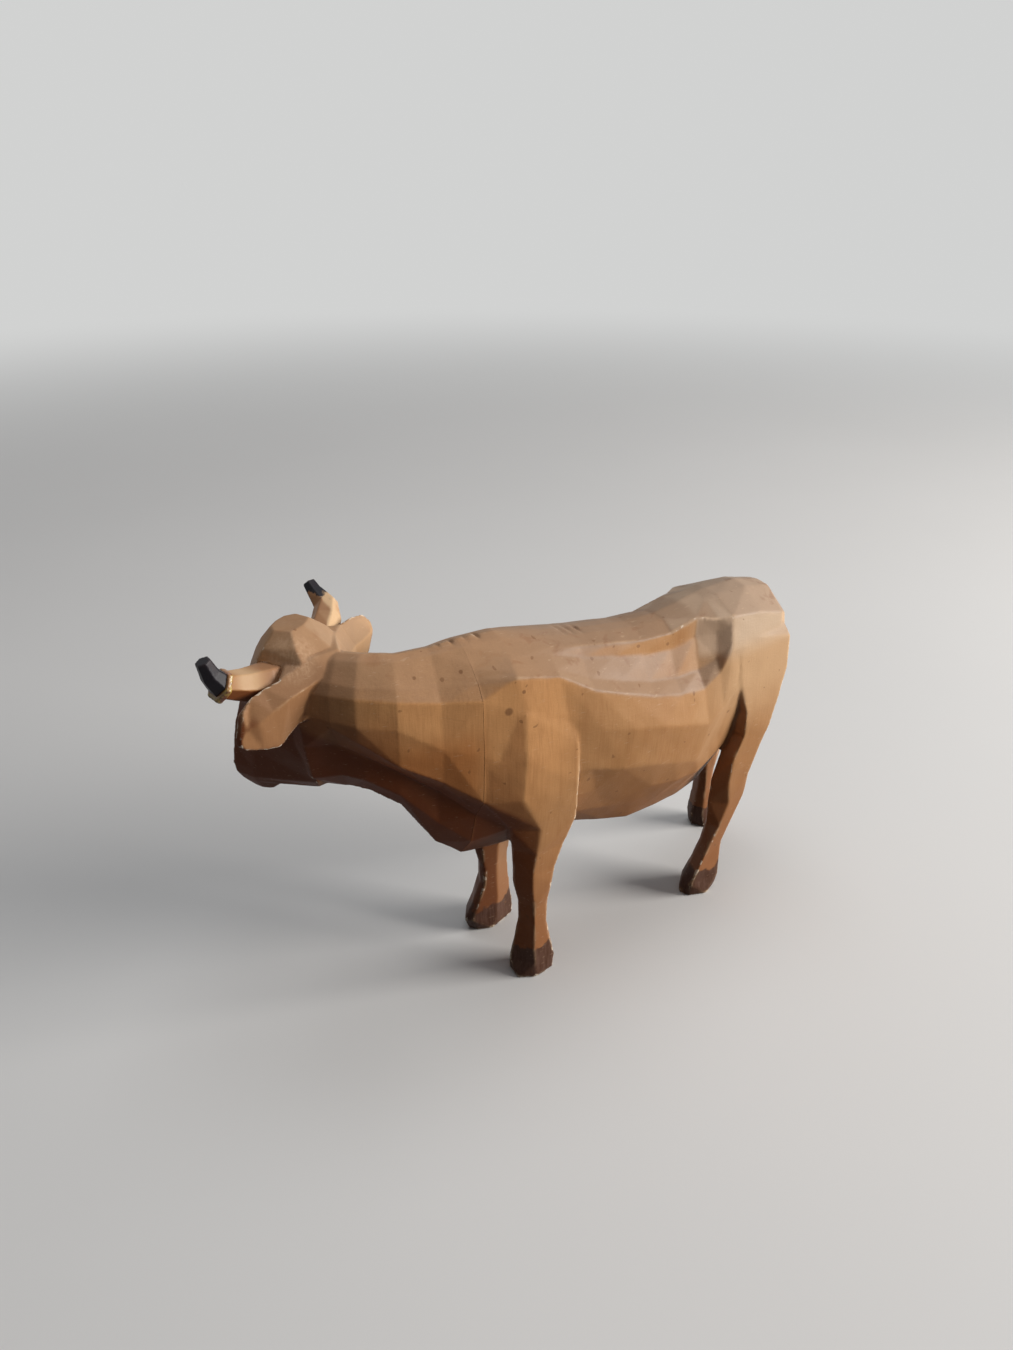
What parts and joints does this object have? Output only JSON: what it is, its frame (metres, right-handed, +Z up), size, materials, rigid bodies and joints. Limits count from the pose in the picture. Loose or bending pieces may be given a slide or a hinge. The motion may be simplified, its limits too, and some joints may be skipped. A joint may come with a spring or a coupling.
{
  "type": "carved cow figurine",
  "caption": "Knife-carved wooden cow standing on four legs, head turned aside, with horns let in and one horn tip glued back on.",
  "frame": {"origin": "on the surface that the cow stands on, below the middle of its bounding box", "axes": "the cow's body faces -X, its left side faces -Y, +Z is up"},
  "size_m": [0.2016, 0.0697, 0.1317],
  "materials": {
    "stained_wood": "satin varnish over brown stain",
    "plain_wood": "satin varnish",
    "black_stained_wood": "satin varnish over black stain",
    "dried_glue": "glossy"
  },
  "bodies": {
    "root": {"body_block": "stained_wood", "neck_and_head_block": "stained_wood", "upper_neck_dowel": "plain_wood", "lower_neck_dowel": "plain_wood", "left_horn": "plain_wood", "left_horn_tip": "black_stained_wood", "horn_glue": "dried_glue", "right_horn": "plain_wood", "tail": "stained_wood"}
  },
  "joints": []
}
